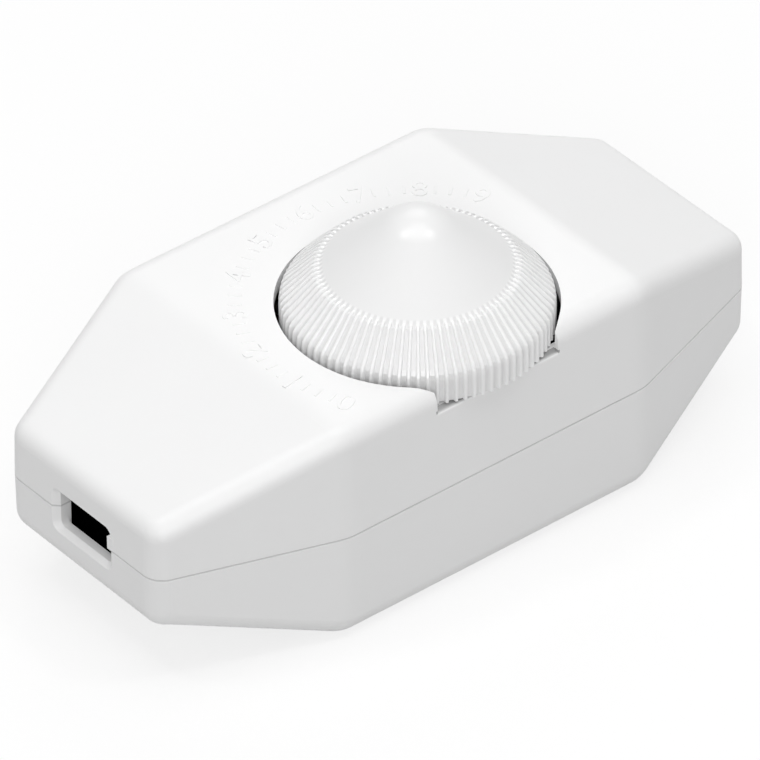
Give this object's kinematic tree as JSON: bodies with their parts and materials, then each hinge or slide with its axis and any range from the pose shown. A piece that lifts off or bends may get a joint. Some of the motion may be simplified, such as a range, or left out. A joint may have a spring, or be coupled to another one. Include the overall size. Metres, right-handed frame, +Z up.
{
  "type": "inline cord dimmer",
  "caption": "Boat-shaped two-shell cord dimmer with a ribbed, bell-topped thumb wheel that breaks out of one side and a flat cord slot in each end.",
  "frame": {"origin": "centre of the flat base that the dimmer lies on", "axes": "+X along the cord, -Y towards the side where the wheel breaks out, +Z up along the wheel's axis"},
  "size_m": [0.09, 0.0436, 0.0425],
  "materials": {
    "white_abs": "fine satin moulding, off white",
    "wheel_abs": "moulded gloss plastic, off white",
    "screw_steel": "zinc plated",
    "shaft_aluminium": "drawn and sheared",
    "black_moulding": "black moulding compound",
    "phenolic_board": "brown phenolic laminate",
    "tinned_brass": "tinned",
    "can_steel": "drawn and plated",
    "ferrite": "sintered and coated",
    "enamelled_copper": "clear enamel on copper",
    "glass_tube": "clear drawn glass",
    "capacitor_box": "yellow moulded box",
    "resistor_lacquer": "lacquered ceramic rod",
    "diac_glass": "painted glass bead",
    "trimmer_blue": "blue moulding",
    "terminal_nylon": "green polyamide",
    "clamp_nylon": "natural polyamide"
  },
  "bodies": {
    "housing": {"upper_shell": "white_abs", "lower_shell": "white_abs", "case_screws": "screw_steel", "board_screws": "screw_steel", "clamp_screws": "screw_steel", "heat_sink_screw": "screw_steel", "heat_sink_nut": "screw_steel", "heat_sink": "shaft_aluminium", "triac": "black_moulding", "off_switch": "black_moulding", "circuit_board": "phenolic_board", "pot_track": "phenolic_board", "pot_pins": "tinned_brass", "terminal_screws": "tinned_brass", "fuse_clips": "tinned_brass", "fuse_caps": "tinned_brass", "pot_case": "can_steel", "pot_bushing": "can_steel", "choke_core": "ferrite", "choke_winding": "enamelled_copper", "fuse_tube": "glass_tube", "suppression_capacitor": "capacitor_box", "timing_capacitor": "capacitor_box", "gate_resistor": "resistor_lacquer", "timing_resistor": "resistor_lacquer", "diac": "diac_glass", "trimmer": "trimmer_blue", "terminal_block_in": "terminal_nylon", "terminal_block_out": "terminal_nylon", "cord_clamp_in": "clamp_nylon", "cord_clamp_out": "clamp_nylon"},
    "wheel": {"dimmer_wheel": "wheel_abs", "pot_shaft": "shaft_aluminium", "pot_wiper": "black_moulding"}
  },
  "joints": [
    {"name": "wheel_turn", "type": "hinge", "parent": "housing", "child": "wheel", "pos_m": [0.00035, -0.00615, 0.0275], "axis": [0, 0, 1], "range_deg": [-150, 150]}
  ]
}
